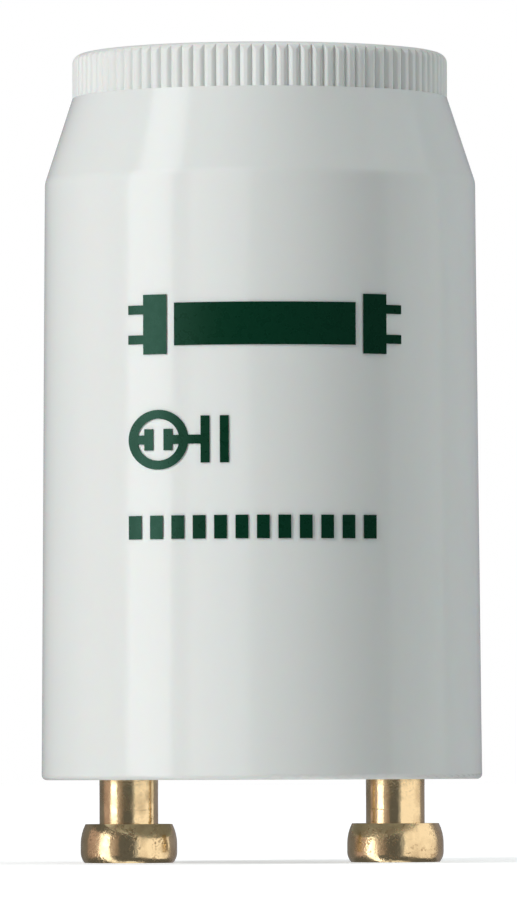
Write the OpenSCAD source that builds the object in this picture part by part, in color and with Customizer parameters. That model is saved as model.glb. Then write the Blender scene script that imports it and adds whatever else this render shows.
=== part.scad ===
// Glow starter for a fluorescent lamp: a moulded canister on two turned brass pins, with
// the glow switch and its suppression capacitor inside.
// Millimetres. The starter stands on its two pin heads: z = 0 is the plane they stand on,
// the pins lie along X on either side of the origin, and the printed side faces -Y.

/* [Pins] */
// Distance between the axes of the two pins
pin_spacing = 12.7; // [12:0.1:13.4]
// Widest diameter of a pin head
head_d = 4.6; // [4.2:0.1:5]
// Height of a pin head
head_h = 1.85; // [1.7:0.05:2.2]
// Height of the rounded foot of a pin head, below its straight band
head_foot_h = 0.5; // [0.3:0.05:0.6]
// Height of the straight band round a pin head
head_band_h = 0.4; // [0.2:0.05:0.6]
// Radius of the curve that rounds the foot of a pin head
head_foot_r = 0.75; // [0.65:0.05:1]
// Radius of the curve that draws a pin head in towards its neck
head_crown_r = 2.1; // [1.8:0.1:2.6]
// Diameter of the neck above a pin head
neck_d = 2.8; // [2.5:0.1:3.2]
// Bare length of neck between a pin head and the rim of the canister
neck_gap = 2.1; // [1.7:0.1:2.6]
// Diameter of the shank that is riveted through the base plate
shank_d = 2.1; // [1.8:0.1:2.3]
// Diameter of the hollow in the shank that takes the wires
hollow_d = 1.2; // [1.15:0.05:1.4]
// Depth of that hollow below the top of the rivet
hollow_depth = 3; // [2:0.1:3.5]
// Diameter of the rivet head on the inner face of the base plate
rivet_d = 3.2; // [2.8:0.1:3.8]
// Height of the rivet head
rivet_h = 0.5; // [0.3:0.05:0.8]

/* [Canister] */
// Outer diameter of the canister at its rim
can_d = 21; // [20:0.1:21.5]
// Height of the canister from its rim to its top face
can_h = 34.6; // [33:0.1:40]
// Draft of the side wall in degrees
can_draft = 0.45; // [0.1:0.05:0.9]
// Thickness of the side wall
can_wall = 1.25; // [1.1:0.05:1.5]
// Thickness of the top
can_top_t = 1.2; // [0.8:0.1:2]
// Wall left round the mouth, where the base plate sits
mouth_wall = 0.95; // [0.8:0.05:1]
// Radius of the outer edge of the rim
rim_edge_r = 0.25; // [0.1:0.05:0.5]
// Height of the cone between the side wall and the grip
cone_h = 4.05; // [3:0.05:5]
// Radius of the soft crease between the side wall and the cone
crease_r = 1; // [0.8:0.1:2]

/* [Grip] */
// How far the ribs of the grip stand in from the outer diameter of the rim
grip_inset = 1.55; // [1.3:0.05:1.9]
// Height of the grip
grip_h = 2.1; // [1.8:0.1:3]
// Radius of the top edge of the grip
grip_edge_r = 0.45; // [0.4:0.05:0.8]
// Number of ribs round the grip
rib_count = 98; // [92:1:100]
// Radius of one rib
rib_r = 0.32; // [0.29:0.01:0.36]
// How far the crown of each rib is cut back to the plain outline of the grip
rib_cut = 0.01; // [0.01:0.005:0.04]
// Share of a rib's pitch by which the ring of ribs is turned
rib_shift = 0.35; // [0:0.05:0.9]

/* [Base plate] */
// Thickness of the base plate
base_t = 2; // [1.6:0.1:2.6]
// How far the base plate is set back behind the rim
base_recess = 0.35; // [0.2:0.05:0.8]
// Gap between the base plate and the mouth of the canister
base_gap = 0.05; // [0.02:0.01:0.08]
// Radius of the snap bead round the base plate
bead_r = 0.2; // [0.15:0.01:0.3]
// Width of each key that stops the base plate turning
key_w = 1.6; // [1.2:0.1:2.4]
// How far each key reaches in from the wall of the mouth
key_depth = 0.7; // [0.5:0.05:1]
// Gap between a shank and its bore in the base plate
shank_gap = 0.02; // [0.01:0.01:0.05]

/* [Glow switch] */
// Diameter of the glass bulb
bulb_d = 8; // [7.5:0.1:8.4]
// Thickness of the glass
glass_t = 0.6; // [0.5:0.05:0.8]
// Height of the bulb without its seal and tip
bulb_h = 19; // [18:0.1:20]
// How far the bulb stands in from the edge of the base plate behind it
bulb_edge_gap = 1.6; // [1.2:0.1:1.9]
// Height of the flat glass seal below the bulb
seal_h = 2.2; // [1.8:0.1:3]
// Width of the seal
seal_w = 6.4; // [5.6:0.1:7]
// Thickness of the seal
seal_t = 2.4; // [1.6:0.1:2.6]
// Length of the sealed-off tip on top of the bulb
tip_h = 1.4; // [1:0.1:1.8]
// Diameter of the sealed-off tip at its root
tip_d = 2.2; // [1.6:0.1:2.6]
// Diameter of the two lead wires of the bulb
lead_d = 0.5; // [0.4:0.05:0.55]
// Distance between the two lead wires in the seal
lead_spacing = 3; // [2.8:0.1:3.4]
// Gap that stands for the weld between the bimetal strip and its lead wire
weld_gap = 0.02; // [0.01:0.01:0.03]
// Height of the bimetal strip's foot above the floor of the bulb
strip_foot_h = 1.6; // [1.2:0.1:2]
// Thickness of the bimetal strip
strip_t = 0.15; // [0.1:0.01:0.2]
// Width of the bimetal strip and of the fixed electrode
strip_w = 1.8; // [1.2:0.1:2.4]
// Length of the tab that welds the bimetal strip to its lead wire
strip_tab_h = 1.4; // [1:0.1:2]
// Height of the free end of the bimetal strip above its tab
strip_rise = 6.4; // [5.5:0.1:7]
// Gap between the cold bimetal strip and the fixed electrode
contact_gap = 0.5; // [0.4:0.05:0.8]
// Thickness of the fixed electrode
electrode_t = 0.2; // [0.1:0.05:0.3]
// Height of the fixed electrode
electrode_h = 3; // [2:0.1:4]
// Height of the left post above the fixed electrode
post_rise = 0.5; // [0.2:0.1:0.8]

/* [Capacitor] */
// Width of the capacitor
cap_w = 8; // [7:0.1:9]
// Thickness of the capacitor
cap_t = 4; // [3:0.1:4.2]
// Height of the capacitor
cap_h = 9.5; // [8:0.1:12]
// Radius of the upright edges of the capacitor
cap_edge_r = 1.2; // [0.6:0.1:1.4]
// Distance between the two wires where they leave the capacitor
cap_lead_spacing = 5; // [4:0.1:5.4]
// Diameter of the capacitor's wires
cap_lead_d = 0.45; // [0.4:0.05:0.5]

/* [Wiring] */
// Height of the level run of the wires above the base plate
run_h = 2.1; // [1.95:0.05:2.6]
// Radius of each bend in a wire
bend_r = 0.7; // [0.6:0.05:0.75]
// Straight wire between the level run's bend and what it comes from
riser_h = 0.7; // [0.5:0.1:1.2]
// Distance from a pin's axis to the middle of each wire in its hollow
wire_offset = 0.29; // [0.27:0.01:0.3]
// Solder left under the ends of the wires in a hollow
wire_end_gap = 0.4; // [0.2:0.1:0.8]
// Height of the solder dome on each rivet
solder_h = 0.5; // [0.3:0.05:0.55]
// Diameter of the solder dome on each rivet
solder_d = 2.2; // [1.8:0.1:2.6]

/* [Print] */
// Thickness of the ink
ink_t = 0.05; // [0.03:0.01:0.08]
// Left edge of the print, measured from the middle of the canister
print_left = 6.2; // [5.5:0.1:7]
// Height of the middle of the lamp mark above the rim
lamp_mark_z = 21.3; // [20:0.1:22]
// Length of the lamp mark over its pins
lamp_mark_w = 12.8; // [11:0.1:13.6]
// Height of the lamp mark over its end caps
lamp_mark_h = 2.8; // [2.2:0.1:3.2]
// Height of the bar between the end caps
lamp_bar_h = 2; // [1.4:0.1:2.1]
// Length of each end cap
lamp_cap_w = 1.1; // [0.8:0.1:1.5]
// Length of the pins drawn on the end caps
lamp_pin_w = 0.7; // [0.4:0.1:1]
// Bare slit between the bar and each end cap
lamp_slit_w = 0.35; // [0.25:0.05:0.5]
// Height of the middle of the circuit mark above the rim
circuit_mark_z = 15.9; // [15:0.1:16.6]
// Diameter of the ring in the circuit mark
circuit_ring_d = 2.8; // [2.4:0.1:3.2]
// Distance between each pair of facing lines in the circuit mark
line_gap = 0.9; // [0.7:0.05:1]
// Length of the facing lines inside the ring
contact_line_h = 1; // [0.8:0.1:1.2]
// Length of the facing lines beside the ring
plate_line_h = 2.2; // [1.8:0.1:2.6]
// Length of the line between the ring and the facing lines beside it
link_line_w = 1; // [0.8:0.1:1.2]
// Width of the lines in the circuit mark
line_w = 0.42; // [0.3:0.02:0.5]
// Height of the middle of the dashed rule above the rim
rule_z = 11.8; // [11:0.1:12.6]
// Length of the dashed rule
rule_w = 12; // [10:0.1:13]
// Height of the dashes
dash_h = 1.1; // [0.6:0.1:1.6]
// Number of dashes in the rule
dash_count = 12; // [6:1:14]
// Share of its step that each dash fills
dash_share = 0.6; // [0.4:0.05:0.75]

/* [Hidden] */
$fn = 96;
// Pieces that are cut run this much past the surfaces they cut
over = 1;

// Heights of the outside
rim_z = head_h + neck_gap;
top_z = rim_z + can_h;
grip_z = top_z - grip_h;
crease_z = grip_z - cone_h;
// Heights of the base plate and the rivets
base_z = rim_z + base_recess;
seat_z = base_z + base_t;
rivet_z = seat_z + rivet_h;
hollow_z = rivet_z - hollow_depth;
wire_end_z = hollow_z + wire_end_gap;
// Radii
pin_x = pin_spacing / 2;
can_r = can_d / 2;
grip_r = can_r - grip_inset;
rib_ring_r = grip_r + rib_cut - rib_r;
mouth_r = can_r - mouth_wall;
base_r = mouth_r - base_gap;
bead_z = base_z + base_t / 2;
grip_inner_r = rib_ring_r - can_wall;
// Heights of the wires, the bulb and the capacitor
run_z = seat_z + run_h;
riser_z = run_z + bend_r + riser_h;
bulb_z = riser_z + seal_h;
bulb_r = bulb_d / 2;
bulb_top_z = bulb_z + bulb_h;
bulb_y = base_r - bulb_edge_gap - bulb_r;
cavity_r = bulb_r - glass_t;
// The capacitor stands midway between the bulb and where its corners would meet the wall
cap_corner_x = cap_w / 2 - cap_edge_r;
cap_corner_y = cap_t / 2 - cap_edge_r;
cap_wall_r = side_r(riser_z + cap_h) - can_wall - cap_edge_r;
cap_wall_y = sqrt(pow(cap_wall_r, 2) - pow(cap_corner_x, 2)) - cap_corner_y;
cap_bulb_y = cap_t / 2 - (bulb_y - bulb_r);
cap_y = (cap_bulb_y + cap_wall_y) / 2;
// The glow switch's pieces
lead_x = lead_spacing / 2;
strip_x = lead_x - lead_d / 2 - weld_gap;
strip_z = bulb_z + glass_t + strip_foot_h;
strip_top_z = strip_z + strip_tab_h + strip_rise;
electrode_x = -lead_x + lead_d / 2;
strip_tip_x = electrode_x + electrode_t + contact_gap;
electrode_z = strip_top_z - electrode_h / 2;

// Radius of the side wall at height z
function side_r(z) = can_r - (z - rim_z) * tan(can_draft);

// Round off corner b of the outline a, b, c: where the arc starts, ends and has its centre
function unit(v) = v / norm(v);
function half_turn(a, b, c) = acos(unit(a - b) * unit(c - b)) / 2;
function arc_start(a, b, c, r) = b + unit(a - b) * r / tan(half_turn(a, b, c));
function arc_end(a, b, c, r) = arc_start(c, b, a, r);
function arc_centre(a, b, c, r) = b + unit(unit(a - b) + unit(c - b)) * r / sin(half_turn(a, b, c));

module at_pin(side) {
    translate([side * pin_x, 0, 0]) children();
}

// Half section of the canister's outside, with the plain body of the grip
module canister_outside(grip_body_r) {
    rim = [can_r, rim_z];
    crease = [side_r(crease_z), crease_z];
    cone_top = [grip_r, grip_z];
    ledge = [grip_body_r, grip_z];
    corner = [grip_body_r, top_z];
    rim_in = [0, rim_z];
    apex = [0, top_z];
    polygon([
        rim_in,
        arc_start(rim_in, rim, crease, rim_edge_r),
        arc_end(rim_in, rim, crease, rim_edge_r),
        arc_start(rim, crease, cone_top, crease_r),
        arc_end(rim, crease, cone_top, crease_r),
        cone_top,
        ledge,
        arc_start(ledge, corner, apex, grip_edge_r),
        arc_end(ledge, corner, apex, grip_edge_r),
        apex,
    ]);
    translate(arc_centre(rim_in, rim, crease, rim_edge_r)) circle(rim_edge_r);
    translate(arc_centre(rim, crease, cone_top, crease_r)) circle(crease_r);
    translate(arc_centre(ledge, corner, apex, grip_edge_r)) circle(grip_edge_r);
}

// Half section of the space inside the canister: mouth, snap groove and cavity
module canister_inside() {
    roof_z = top_z - can_top_t;
    polygon([
        [0, rim_z - over],
        [mouth_r, rim_z - over],
        [mouth_r, seat_z],
        [side_r(seat_z) - can_wall, seat_z],
        [side_r(crease_z) - can_wall, crease_z],
        [grip_inner_r, grip_z],
        [grip_inner_r, roof_z],
        [0, roof_z],
    ]);
    translate([base_r, bead_z]) circle(bead_r + base_gap);
}

// The ring of upright ribs, cut back to the plain outline of the grip with its rounded top edge
module grip_ribs() {
    intersection() {
        translate([0, 0, grip_z - over]) linear_extrude(grip_h + 2 * over) {
            circle(rib_ring_r * cos(180 / rib_count));
            for (i = [0 : rib_count - 1]) {
                rotate(i * 360 / rib_count) translate([rib_ring_r, 0]) circle(rib_r);
            }
        }
        rotate_extrude() intersection() {
            canister_outside(grip_r);
            translate([0, grip_z]) square([grip_r, grip_h]);
        }
    }
}

// Two keys in the mouth, at the front and back, that stop the base plate turning
module keys(gap) {
    for (side = [-1, 1]) {
        translate([0, side * (mouth_r - key_depth / 2), bead_z])
            cube([key_w + 2 * gap, key_depth + 2 * gap, base_t + 2 * gap], center = true);
    }
}

module canister() {
    color([0.86, 0.87, 0.83]) difference() {
        rotate(rib_shift * 360 / rib_count) union() {
            rotate_extrude() intersection() {
                canister_outside(grip_r);
                square([can_r, grip_z]);
            }
            grip_ribs();
        }
        difference() {
            rotate_extrude() canister_inside();
            keys(0);
        }
    }
}

module base_plate() {
    color([0.62, 0.63, 0.61]) difference() {
        union() {
            translate([0, 0, base_z]) cylinder(r = base_r, h = base_t);
            translate([0, 0, bead_z]) rotate_extrude() translate([base_r, 0]) circle(bead_r);
        }
        keys(base_gap);
        for (side = [-1, 1]) {
            at_pin(side) translate([0, 0, base_z - over])
                cylinder(d = shank_d + 2 * shank_gap, h = base_t + 2 * over);
        }
    }
}

// Half section of a pin's head: rounded foot, straight band and crowned top
module head_section() {
    head_r = head_d / 2;
    crown_z = head_foot_h + head_band_h;
    intersection() {
        union() {
            square([head_r - head_foot_r, head_foot_h]);
            translate([head_r - head_foot_r, head_foot_h]) circle(head_foot_r);
        }
        square([head_r, head_foot_h]);
    }
    translate([0, head_foot_h]) square([head_r, head_band_h]);
    intersection() {
        translate([head_r - head_crown_r, crown_z]) circle(head_crown_r);
        translate([0, crown_z]) square([head_r, head_h - crown_z]);
    }
}

module contact_pin(side) {
    color([0.86, 0.7, 0.38]) at_pin(side) difference() {
        union() {
            rotate_extrude() head_section();
            translate([0, 0, head_h]) cylinder(d = neck_d, h = base_z - head_h);
            translate([0, 0, base_z]) cylinder(d = shank_d, h = base_t);
            translate([0, 0, seat_z]) cylinder(d = rivet_d, h = rivet_h);
        }
        translate([0, 0, hollow_z]) cylinder(d = hollow_d, h = hollow_depth + over);
    }
}

// The straight ends of both wires in a pin's hollow
module wire_ends() {
    ends_h = rivet_z + solder_h + over - wire_end_z;
    translate([0, wire_offset, wire_end_z]) cylinder(d = lead_d, h = ends_h);
    translate([0, -wire_offset, wire_end_z]) cylinder(d = cap_lead_d, h = ends_h);
}

// Solder that fills a pin's hollow round the wires and stands on its rivet as a dome
module solder(side) {
    dome_r = (solder_d * solder_d / 4 + solder_h * solder_h) / (2 * solder_h);
    color([0.72, 0.73, 0.74]) at_pin(side) difference() {
        union() {
            translate([0, 0, hollow_z]) cylinder(d = hollow_d, h = hollow_depth);
            translate([0, 0, rivet_z]) rotate_extrude() intersection() {
                translate([0, solder_h - dome_r]) circle(dome_r);
                square([solder_d, solder_h]);
            }
        }
        wire_ends();
    }
}

// A wire that comes down at one place, runs level and goes down again into a pin's hollow
module wire(d, from, to, from_z) {
    way = to - from;
    run = norm(way);
    translate([from.x, from.y, run_z]) rotate([0, 0, atan2(way.y, way.x)]) {
        translate([0, 0, bend_r]) cylinder(d = d, h = from_z - run_z - bend_r);
        translate([bend_r, 0, bend_r]) rotate([90, 0, 0]) rotate([0, 0, 180]) wire_bend(d);
        translate([bend_r, 0, 0]) rotate([0, 90, 0]) cylinder(d = d, h = run - 2 * bend_r);
        translate([run - bend_r, 0, -bend_r]) rotate([90, 0, 0]) wire_bend(d);
        translate([run, 0, wire_end_z - run_z]) cylinder(d = d, h = run_z - bend_r - wire_end_z);
    }
}

module wire_bend(d) {
    rotate_extrude(angle = 90) translate([bend_r, 0]) circle(d = d);
}

// The lead wires of the bulb. Each goes on through the seal and is a post inside the bulb
module lead_wire(side, post_z) {
    color([0.72, 0.5, 0.36])
        wire(lead_d, [side * lead_x, bulb_y], [side * pin_x, wire_offset], post_z);
}

module capacitor_wire(side) {
    color([0.78, 0.79, 0.8]) wire(cap_lead_d, [side * cap_lead_spacing / 2, -cap_y],
        [side * pin_x, -wire_offset], riser_z);
}

// Glass bulb: a tube with round ends, a flat seal below and a drawn-off tip on top
module glow_bulb() {
    tube_h = bulb_h - 2 * bulb_r;
    color([0.85, 0.92, 0.94, 0.5]) translate([0, bulb_y, 0]) difference() {
        union() {
            translate([0, 0, bulb_z + bulb_r]) {
                sphere(bulb_r);
                cylinder(r = bulb_r, h = tube_h);
                translate([0, 0, tube_h]) sphere(bulb_r);
            }
            translate([0, 0, riser_z]) linear_extrude(seal_h + bulb_r / 2) {
                square([seal_w - seal_t, seal_t], center = true);
                for (side = [-1, 1]) {
                    translate([side * (seal_w - seal_t) / 2, 0]) circle(d = seal_t);
                }
            }
            translate([0, 0, bulb_top_z - glass_t]) {
                cylinder(d1 = tip_d, d2 = tip_d / 3, h = tip_h + glass_t - tip_d / 6);
                translate([0, 0, tip_h + glass_t - tip_d / 6]) sphere(tip_d / 6);
            }
        }
        translate([0, 0, bulb_z + bulb_r]) {
            sphere(cavity_r);
            cylinder(r = cavity_r, h = tube_h);
            translate([0, 0, tube_h]) sphere(cavity_r);
        }
        for (side = [-1, 1]) {
            translate([side * lead_x, 0, riser_z - over]) cylinder(d = lead_d, h = bulb_r + seal_h);
        }
    }
}

module fixed_electrode() {
    color([0.7, 0.71, 0.72])
        translate([electrode_x, bulb_y - strip_w / 2, electrode_z])
            cube([electrode_t, strip_w, electrode_h]);
}

// Bimetal strip: a tab along its lead wire, then a slope towards the fixed electrode
module bimetal_strip() {
    bend_z = strip_z + strip_tab_h;
    color([0.62, 0.58, 0.52]) translate([0, bulb_y + strip_w / 2, 0]) rotate([90, 0, 0])
        linear_extrude(strip_w) polygon([
            [strip_x, strip_z],
            [strip_x, bend_z],
            [strip_tip_x + strip_t, strip_top_z],
            [strip_tip_x, strip_top_z],
            [strip_x - strip_t, bend_z],
            [strip_x - strip_t, strip_z],
        ]);
}

module capacitor() {
    color([0.75, 0.5, 0.18]) translate([0, -cap_y, riser_z]) linear_extrude(cap_h) {
        square([cap_w, 2 * cap_corner_y], center = true);
        square([2 * cap_corner_x, cap_t], center = true);
        for (x = [-1, 1], y = [-1, 1]) {
            translate([x * cap_corner_x, y * cap_corner_y]) circle(cap_edge_r);
        }
    }
}

// Ink on the front of the side wall: the flat drawing is carried back onto the wall
module ink(z, h) {
    low_z = rim_z + z - h;
    high_z = rim_z + z + h;
    color([0.03, 0.24, 0.17]) intersection() {
        rotate_extrude() polygon([
            [side_r(low_z), low_z],
            [side_r(low_z) + ink_t, low_z],
            [side_r(high_z) + ink_t, high_z],
            [side_r(high_z), high_z],
        ]);
        translate([-print_left, 0, rim_z + z]) rotate([90, 0, 0]) linear_extrude(can_r + over)
            children();
    }
}

// Mark of a straight tube lamp: a bar with an end cap and two pins at each end
module lamp_print() {
    bar_w = lamp_mark_w - 2 * (lamp_pin_w + lamp_cap_w + lamp_slit_w);
    ink(lamp_mark_z, lamp_mark_h) translate([lamp_mark_w / 2, 0]) {
        square([bar_w, lamp_bar_h], center = true);
        for (turn = [0, 180]) {
            rotate(turn) translate([lamp_mark_w / 2 - lamp_pin_w - lamp_cap_w, 0]) {
                translate([0, -lamp_mark_h / 2]) square([lamp_cap_w, lamp_mark_h]);
                for (y = [-1, 1]) {
                    translate([0, y * lamp_mark_h / 4 - line_w / 2])
                        square([lamp_cap_w + lamp_pin_w, line_w]);
                }
            }
        }
    }
}

// Two upright lines of height h that face each other across line_gap
module facing_lines(h) {
    for (side = [-1, 1]) {
        translate([side * line_gap / 2, 0]) square([line_w, h], center = true);
    }
}

// Mark of the circuit: a ring round two contacts, and the two plates of a capacitor beside it
module circuit_print() {
    ring_r = circuit_ring_d / 2;
    ring_mid_r = ring_r - line_w / 2;
    stub_w = ring_mid_r - line_gap / 2;
    ink(circuit_mark_z, circuit_ring_d) {
        translate([ring_r, 0]) {
            difference() {
                circle(ring_r);
                circle(ring_r - line_w);
            }
            facing_lines(contact_line_h);
            for (side = [-1, 1]) {
                translate([side * (ring_mid_r - stub_w / 2), 0])
                    square([stub_w, line_w], center = true);
            }
        }
        translate([circuit_ring_d - line_w / 2, -line_w / 2]) square([link_line_w, line_w]);
        translate([circuit_ring_d - line_w / 2 + link_line_w + line_gap / 2, 0])
            facing_lines(plate_line_h);
    }
}

// A rule of dashes under the marks
module rule_print() {
    pitch = rule_w / dash_count;
    ink(rule_z, dash_h) {
        for (i = [0 : dash_count - 1]) {
            translate([i * pitch, -dash_h / 2]) square([pitch * dash_share, dash_h]);
        }
    }
}

canister();
base_plate();
contact_pin(-1);  // contact_pin_left
contact_pin(1);  // contact_pin_right
solder(-1);  // solder_left
solder(1);  // solder_right
glow_bulb();
lead_wire(-1, electrode_z + electrode_h + post_rise);  // lead_wire_left
lead_wire(1, strip_z + strip_tab_h);  // lead_wire_right
fixed_electrode();
bimetal_strip();
capacitor();
capacitor_wire(-1);  // capacitor_wire_left
capacitor_wire(1);  // capacitor_wire_right
lamp_print();
circuit_print();
rule_print();
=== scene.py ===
"""A glow starter for a fluorescent lamp, standing on its two brass pins under soft studio light."""

import math

import bpy
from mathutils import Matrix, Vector


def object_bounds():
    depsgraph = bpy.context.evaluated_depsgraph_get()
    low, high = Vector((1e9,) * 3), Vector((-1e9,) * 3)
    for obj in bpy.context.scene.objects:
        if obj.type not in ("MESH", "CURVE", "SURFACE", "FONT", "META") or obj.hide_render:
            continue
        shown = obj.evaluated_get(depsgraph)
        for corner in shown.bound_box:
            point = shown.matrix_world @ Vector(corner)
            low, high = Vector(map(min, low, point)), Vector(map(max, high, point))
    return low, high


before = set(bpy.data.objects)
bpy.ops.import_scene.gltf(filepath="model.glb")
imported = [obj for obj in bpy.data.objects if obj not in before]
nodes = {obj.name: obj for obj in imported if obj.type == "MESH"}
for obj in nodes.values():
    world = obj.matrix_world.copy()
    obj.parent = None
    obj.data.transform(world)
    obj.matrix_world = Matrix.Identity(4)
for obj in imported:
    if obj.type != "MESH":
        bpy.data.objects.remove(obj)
cad_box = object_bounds()
MM = 0.001

# Base plate
# A disc of matt polycarbonate, moulded in one shot with its snap bead and its two key slots.
# Its mid grey is partly painted shade: the plate is darkened so that the pins' crowns reflect a dark
# underside.
# It is pressed into the mouth of the canister and carries everything else.


def new_finish(name, **values):
    """A finish with one surface shader. Each value is set on the shader's own socket."""
    made = bpy.data.materials.new(name)
    made.use_nodes = True
    shader = made.node_tree.nodes["Principled BSDF"]
    for socket, value in values.items():
        shader.inputs[socket.replace("_", " ")].default_value = value
    return made


def node_in(made, kind, **settings):
    """One more node in a finish."""
    node = made.node_tree.nodes.new("ShaderNode" + kind)
    for setting, value in settings.items():
        setattr(node, setting, value)
    return node


def join(made, source, target):
    made.node_tree.links.new(source, target)


def socket_of(made, name):
    return made.node_tree.nodes["Principled BSDF"].inputs[name]


def place_in(made):
    """Where a point of the surface lies on the piece, in metres."""
    return node_in(made, "TexCoord").outputs["Object"]


def mottle(made, size, detail=3.0, stretch=(1, 1, 1)):
    """A cloudy pattern whose clouds are about this size, drawn out along an axis by stretch."""
    scaled = node_in(made, "Mapping")
    scaled.inputs["Scale"].default_value = [1 / (size * s) for s in stretch]
    join(made, place_in(made), scaled.inputs["Vector"])
    noise = node_in(made, "TexNoise")
    noise.inputs["Scale"].default_value = 1.0
    noise.inputs["Detail"].default_value = detail
    join(made, scaled.outputs["Vector"], noise.inputs["Vector"])
    return noise.outputs["Fac"]


def remap(made, value, low, high, to_low, to_high):
    """A pattern's values from low to high, spread from to_low to to_high."""
    spread = node_in(made, "MapRange")
    join(made, value, spread.inputs["Value"])
    ends = {"From Min": low, "From Max": high, "To Min": to_low, "To Max": to_high}
    for socket, number in ends.items():
        spread.inputs[socket].default_value = number
    return spread.outputs["Result"]


def colour_by(made, value, first, second):
    """Colours a finish by a pattern: first where it is 0, second where it is 1."""
    mixed = node_in(made, "Mix", data_type="RGBA")
    join(made, value, mixed.inputs["Factor"])
    first_colour, second_colour, result = mixed.inputs[6], mixed.inputs[7], mixed.outputs[2]
    first_colour.default_value = (*first, 1)
    second_colour.default_value = (*second, 1)
    join(made, result, socket_of(made, "Base Color"))


def raise_by(made, value, depth, under=None):
    """A pattern as relief of this depth in metres, on top of the relief under it."""
    bump = node_in(made, "Bump")
    bump.inputs["Distance"].default_value = depth
    join(made, value, bump.inputs["Height"])
    if under is not None:
        join(made, under, bump.inputs["Normal"])
    return bump.outputs["Normal"]


def put_on(made, *names):
    """Gives a finish to the pieces of these names."""
    for name in names:
        nodes[name].data.materials.clear()
        nodes[name].data.materials.append(made)


def matt_moulding_and_shade():
    made = new_finish("matt_moulding_and_shade", Roughness=0.55, IOR=1.58)
    clouds = mottle(made, 4 * MM)
    # Mid grey, partly the plate's own colour and partly painted shade, for the dark underside that the pins
    # reflect.
    colour_by(made, clouds, (0.36, 0.37, 0.35), (0.42, 0.43, 0.41))
    grain = mottle(made, 0.08 * MM, detail=2)
    join(made, raise_by(made, grain, 0.004 * MM), socket_of(made, "Normal"))
    return made


put_on(matt_moulding_and_shade(), "base_plate")

# Contact pins
# Turned brass, lightly tarnished from handling. The barrel-shaped head drops into the holder's
# keyhole slot and its springs grip the neck; the shank is riveted over inside the base plate.


def both(made, first, second, operation="MULTIPLY"):
    """Two patterns as one: their product, or another operation on the two."""
    joined = node_in(made, "Math", operation=operation)
    for value, socket in zip((first, second), joined.inputs):
        if isinstance(value, float):
            socket.default_value = value
        else:
            join(made, value, socket)
    return joined.outputs["Value"]


def turned_brass():
    made = new_finish("turned_brass", Metallic=1.0)
    split = node_in(made, "SeparateXYZ")
    join(made, place_in(made), split.inputs["Vector"])
    height = split.outputs["Z"]
    head_belly, head_top, line_height = 1.7 * MM, 2.0 * MM, 2.54 * MM
    patches = remap(made, mottle(made, 0.8 * MM, detail=2), 0.42, 0.62, 0, 1)
    specks = remap(made, mottle(made, 0.13 * MM, detail=1), 0.34, 0.52, 1, 0)
    on_the_head = remap(made, height, head_belly, head_top, 1.0, 0.25)
    pits = both(made, both(made, specks, patches), on_the_head)
    tarnish = remap(made, mottle(made, 0.9 * MM, detail=6), 0.45, 0.75, 0, 0.8)
    dulled = both(made, tarnish, pits, "MAXIMUM")
    colour_by(made, dulled, (0.90, 0.715, 0.425), (0.5, 0.36, 0.2))
    join(made, remap(made, dulled, 0, 1, 0.13, 0.4), socket_of(made, "Roughness"))
    dents = raise_by(made, mottle(made, 0.45 * MM, detail=4), 0.012 * MM)
    pitted = raise_by(made, pits, -0.004 * MM, under=dents)
    from_line = both(made, both(made, height, line_height, "SUBTRACT"), 0.0, "ABSOLUTE")
    tool_line = remap(made, from_line, 0.0, 0.05 * MM, 0, 1)
    join(made, raise_by(made, tool_line, 0.003 * MM, under=pitted), socket_of(made, "Normal"))
    return made


put_on(turned_brass(), "contact_pin_left", "contact_pin_right")

# Solder
# A drop of soft solder that fills each hollow shank round the wires and stands on the rivet
# as a smooth dome, dulled a little where it froze.


def soft_solder():
    made = new_finish("soft_solder", Metallic=1.0)
    frost = mottle(made, 0.35 * MM, detail=4)
    colour_by(made, frost, (0.62, 0.63, 0.64), (0.50, 0.51, 0.53))
    join(made, remap(made, frost, 0.3, 0.7, 0.22, 0.45), socket_of(made, "Roughness"))
    join(made, raise_by(made, frost, 0.006 * MM), socket_of(made, "Normal"))
    return made


put_on(soft_solder(), "solder_left", "solder_right")

# Lead wires
# Copper-clad wire, drawn thin. Each runs from a pin up through the bulb's seal, and its end
# stands in the bulb as a post.


def drawn_wire(name, bright, dull):
    made = new_finish(name, Metallic=1.0)
    clouds = mottle(made, 0.5 * MM, detail=4)
    colour_by(made, clouds, bright, dull)
    join(made, remap(made, clouds, 0.3, 0.7, 0.2, 0.38), socket_of(made, "Roughness"))
    return made


copper_clad = drawn_wire("copper_clad_wire", bright=(0.78, 0.44, 0.28), dull=(0.48, 0.27, 0.17))
put_on(copper_clad, "lead_wire_left", "lead_wire_right")

# Glow bulb
# Clear soda glass blown as one bulb. Its foot is pinched flat round the lead wires, and the tube
# that it was filled through is melted off as a tip.


def clear_glass():
    made = new_finish("clear_glass", Roughness=0.02, IOR=1.5, Transmission_Weight=1.0)
    ripple = mottle(made, 3 * MM, detail=1)
    colour_by(made, ripple, (0.97, 0.99, 0.99), (0.92, 0.96, 0.96))
    join(made, raise_by(made, ripple, 0.01 * MM), socket_of(made, "Normal"))
    return made


put_on(clear_glass(), "glow_bulb")

# Electrodes
# A stamped nickel plate welded to the left post, and a bimetal strip welded to the right one.
# The strip has straw-coloured heat tints in streaks all over it.


def rolled_strip(name, bright, dull):
    made = new_finish(name, Metallic=1.0)
    streaks = mottle(made, 0.3 * MM, detail=3, stretch=(1, 1, 8))
    colour_by(made, streaks, bright, dull)
    join(made, remap(made, streaks, 0.3, 0.7, 0.28, 0.45), socket_of(made, "Roughness"))
    return made


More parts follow.
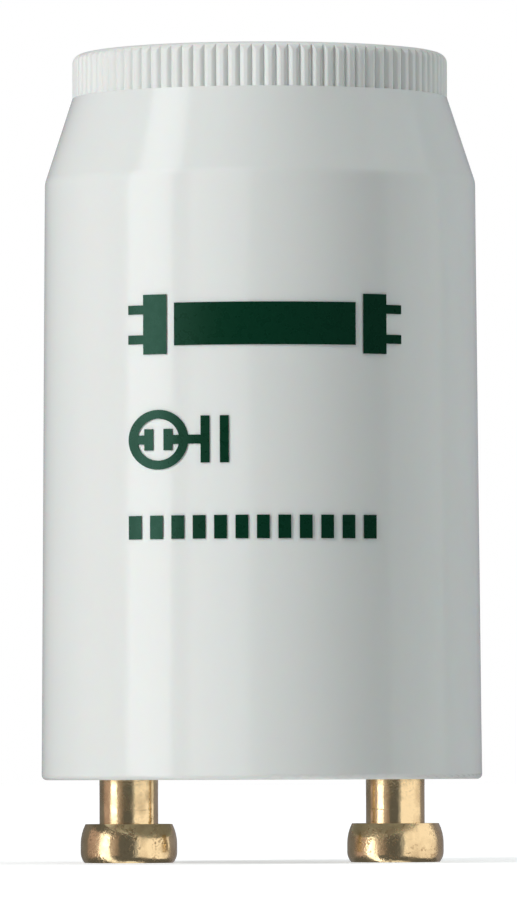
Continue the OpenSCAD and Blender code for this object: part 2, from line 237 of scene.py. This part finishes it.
put_on(rolled_strip("rolled_nickel", bright=(0.62, 0.61, 0.58), dull=(0.48, 0.47, 0.45)), "fixed_electrode")
put_on(rolled_strip("bimetal", bright=(0.55, 0.48, 0.38), dull=(0.36, 0.32, 0.30)), "bimetal_strip")

# Capacitor
# A wound film capacitor dipped in brown resin, which leaves a glossy, slightly wavy skin.
# Its two tinned wires are bent down into the hollow pins and soldered there.


def dipped_resin():
    made = new_finish("dipped_resin", Roughness=0.16, IOR=1.54)
    waves = mottle(made, 2.2 * MM, detail=2)
    colour_by(made, waves, (0.42, 0.19, 0.05), (0.34, 0.14, 0.03))
    join(made, raise_by(made, waves, 0.05 * MM), socket_of(made, "Normal"))
    return made


put_on(dipped_resin(), "capacitor")
tinned = drawn_wire("tinned_wire", bright=(0.66, 0.67, 0.68), dull=(0.52, 0.53, 0.55))
put_on(tinned, "capacitor_wire_left", "capacitor_wire_right")

# Canister
# One moulding of white polycarbonate: the drafted side wall, the cone and the ribbed grip.
# The mould was polished, so the wall has a satin gloss with very slight waves in it, and duller ribs.


def satin_moulding():
    made = new_finish("satin_moulding", IOR=1.58, Subsurface_Weight=0.2, Subsurface_Scale=0.4 * MM)
    clouds = mottle(made, 9 * MM)
    colour_by(made, clouds, (0.79, 0.815, 0.795), (0.82, 0.84, 0.82))
    grain = mottle(made, 0.12 * MM, detail=3)
    polish = remap(made, grain, 0.3, 0.7, 0.13, 0.17)
    split = node_in(made, "SeparateXYZ")
    join(made, place_in(made), split.inputs["Vector"])
    grip_foot = cad_box[1][2] - 2.1 * MM
    blend = 0.05 * MM
    duller_grip = remap(made, split.outputs["Z"], grip_foot - blend, grip_foot + blend, 0, 0.22)
    join(made, both(made, polish, duller_grip, "ADD"), socket_of(made, "Roughness"))
    waves = raise_by(made, mottle(made, 7 * MM, detail=1), 0.02 * MM)
    join(made, raise_by(made, grain, 0.0006 * MM, under=waves), socket_of(made, "Normal"))
    return made


put_on(satin_moulding(), "canister")

# Print
# Dark green ink, pad printed on the front of the wall in one pass: a lamp, the circuit inside
# and a dashed rule. The film is thin and takes the satin gloss of the wall.


def green_ink():
    made = new_finish("green_ink", IOR=1.5, Specular_Tint=(0.45, 1.0, 0.8, 1))
    film = mottle(made, 0.4 * MM, detail=4)
    colour_by(made, film, (0.0, 0.026, 0.010), (0.001, 0.034, 0.014))
    join(made, remap(made, film, 0.3, 0.7, 0.24, 0.34), socket_of(made, "Roughness"))
    join(made, raise_by(made, mottle(made, 0.15 * MM), 0.001 * MM), socket_of(made, "Normal"))
    return made


put_on(green_ink(), "lamp_print", "circuit_print", "rule_print")

# Table and backdrop
# A pale, plain table top that runs out of sight, and plain white behind it. Both are white
# where they are seen, and give the starter little light.


def seen_directly(tree):
    """1 where it is seen straight, in a gloss or through glass, and 0 for the light that it gives."""
    path = tree.nodes.new("ShaderNodeLightPath")
    total = path.outputs["Is Camera Ray"]
    for kind in ("Is Glossy Ray", "Is Transmission Ray"):
        larger = tree.nodes.new("ShaderNodeMath")
        larger.operation = "MAXIMUM"
        tree.links.new(total, larger.inputs[0])
        tree.links.new(path.outputs[kind], larger.inputs[1])
        total = larger.outputs["Value"]
    return total


def table_top():
    half = 2.0
    corners = [(-half, -half, 0), (half, -half, 0), (half, half, 0), (-half, half, 0)]
    mesh = bpy.data.meshes.new("table_top")
    mesh.from_pydata(corners, [], [(0, 1, 2, 3)])
    top = bpy.data.objects.new("table_top", mesh)
    bpy.context.scene.collection.objects.link(top)
    made = new_finish("table_paper", Base_Color=(0.82, 0.82, 0.82, 1), Roughness=0.9, IOR=1.2,
                      Emission_Color=(1, 1, 1, 1))
    from_middle = node_in(made, "VectorMath", operation="LENGTH")
    join(made, place_in(made), from_middle.inputs[0])
    near, far, near_glow, far_glow = 0.03, 0.9, 0.5, 0.95
    glow = remap(made, from_middle.outputs["Value"], near, far, near_glow, far_glow)
    join(made, both(made, seen_directly(made.node_tree), glow), socket_of(made, "Emission Strength"))
    mesh.materials.append(made)
    top.visible_glossy = False
    top.visible_shadow = False


def white_surround(light):
    """The world is white where it is seen, and lights the scene evenly at this strength."""
    world = bpy.data.worlds.new("surround")
    world.use_nodes = True
    bpy.context.scene.world = world
    tree = world.node_tree
    seen = tree.nodes.new("ShaderNodeMapRange")
    tree.links.new(seen_directly(tree), seen.inputs["Value"])
    seen.inputs["To Min"].default_value = light
    seen.inputs["To Max"].default_value = 1.0
    background = tree.nodes["Background"]
    background.inputs["Color"].default_value = (1, 1, 1, 1)
    tree.links.new(seen.outputs["Result"], background.inputs["Strength"])


table_top()
white_surround(light=0.04)

# Lamps and cards
# A tall soft box on the left gives the narrow highlight. Two wide panels show only in the gloss of
# the canister, and matt lamps fill the shade. Dark cards, which only a gloss sees, stand all round,
# as a photographer sets them round bright metal.


def round_the_starter(azimuth, distance, height):
    """A place round the starter. Azimuth 0 is towards the camera, and it grows to the right."""
    turn = math.radians(azimuth)
    return Vector((distance * math.sin(turn), -distance * math.cos(turn), height))


def soft_box(name, place, width, height, power, tint=(1, 1, 1), only_in="", only_on=()):
    """A lamp of this width and height that faces the starter's axis, or straight up or down from a
    place on the axis. It can be kept to the matt light or to the gloss, and to some of the pieces."""
    lamp = bpy.data.lights.new(name, "AREA")
    lamp.shape = "RECTANGLE"
    lamp.size, lamp.size_y = width, height
    lamp.energy = power
    lamp.color = tint
    box = bpy.data.objects.new(name, lamp)
    bpy.context.scene.collection.objects.link(box)
    box.location = place
    facing = Vector((-place.x, -place.y, 0)) if place.xy.length > 0.01 else Vector((0, 0, -place.z))
    box.rotation_euler = facing.to_track_quat("-Z", "Y").to_euler()
    box.visible_camera = False
    box.visible_glossy = only_in != "matt"
    box.visible_diffuse = only_in != "gloss"
    if only_on:
        lit = bpy.data.collections.new(name)
        for piece in only_on:
            lit.objects.link(piece)
        box.light_linking.receiver_collection = lit


def grey_card(name, first, last, distance, grey, reach=0.5):
    """A curved card from one azimuth to another that a gloss sees as this grey."""
    steps = 24
    points = []
    for i in range(steps + 1):
        azimuth = first + (last - first) * i / steps
        for height in (-reach, reach):
            points.append(round_the_starter(azimuth, distance, height))
    faces = [(2 * i, 2 * i + 2, 2 * i + 3, 2 * i + 1) for i in range(steps)]
    mesh = bpy.data.meshes.new(name)
    mesh.from_pydata(points, [], faces)
    card = bpy.data.objects.new(name, mesh)
    bpy.context.scene.collection.objects.link(card)
    made = new_finish(name, Base_Color=(0, 0, 0, 1), Roughness=1.0, Specular_IOR_Level=0.0,
                      Emission_Color=(*grey, 1), Emission_Strength=1.0)
    mesh.materials.append(made)
    card.visible_camera = False
    card.visible_diffuse = False
    card.visible_shadow = False
    card.visible_transmission = False


pins = [nodes["contact_pin_left"], nodes["contact_pin_right"]]
shell = [nodes["canister"]]
cool = (0.94, 1, 1)
warm = (1, 0.93, 0.87)
soft_box("key_light", round_the_starter(-61, 0.6, -0.5), 0.28, 1.5, power=2.7)
soft_box("key_top", round_the_starter(-61, 0.6, 0.375), 0.28, 0.25, power=0.45, only_on=shell)
soft_box("wide_light", round_the_starter(-22, 0.6, 0), 0.34, 1.0, power=1.0, only_in="gloss", only_on=shell)
soft_box("right_panel", round_the_starter(91, 0.6, 0), 0.44, 1.0, power=0.7, only_in="gloss", only_on=shell)
soft_box("left_light", round_the_starter(-54, 0.8, 0.6), 0.25, 0.5, power=5.4, only_in="matt")
soft_box("right_light", round_the_starter(60, 0.8, 0.8), 0.25, 0.5, power=2.4, tint=cool, only_in="matt")
soft_box("side_light", round_the_starter(115, 0.8, 0.5), 0.25, 0.5, power=2.9, tint=cool, only_in="matt")
soft_box("top_light", Vector((0, 0, 0.9)), 0.6, 0.6, power=1.4, tint=cool, only_in="matt")
soft_box("table_light", Vector((0, 0, -0.3)), 0.35, 0.35, power=0.25, only_in="matt")
soft_box("rim_light", Vector((0, 0, -0.3)), 0.35, 0.35, power=0.5, only_in="matt", only_on=shell)
soft_box("pin_light", round_the_starter(68, 0.4, 0), 0.83, 0.6, power=1.5, tint=warm, only_on=pins)
soft_box("pin_edge", round_the_starter(18, 0.4, 0), 0.07, 0.6, power=0.036, only_on=pins)
grey_card("far_card", -180, 180, distance=1.3, grey=(0.115, 0.12, 0.125), reach=3)
grey_card("left_card", -180, -113, distance=1.2, grey=(0.19, 0.19, 0.2))
grey_card("rose_card", -113, -74, distance=1.2, grey=(0.49, 0.38, 0.37))
grey_card("tan_card", -74, -34, distance=1.2, grey=(0.47, 0.4, 0.38))
grey_card("brown_card", -34, -24, distance=1.2, grey=(0.3, 0.25, 0.23))
grey_card("right_card", 114, 180, distance=1.2, grey=(0.27, 0.26, 0.29))

# Camera
# It stands level with the pins, 450 mm in front of them, and looks slightly up, so that the
# starter fills the tall frame.

camera_data = bpy.data.cameras.new("camera")
camera_data.sensor_width = 36
camera_data.lens = 377.4
camera = bpy.data.objects.new("camera", camera_data)
bpy.context.scene.collection.objects.link(camera)
aside, away, eye_height = -0.164 * MM, 450 * MM, 4.5 * MM
camera.location = (aside, -away, eye_height)
look_up = 1.93
lean = 0.19
camera.rotation_euler = (math.radians(90 + look_up), math.radians(lean), 0)
bpy.context.scene.camera = camera

bpy.context.scene.view_settings.view_transform = "Standard"
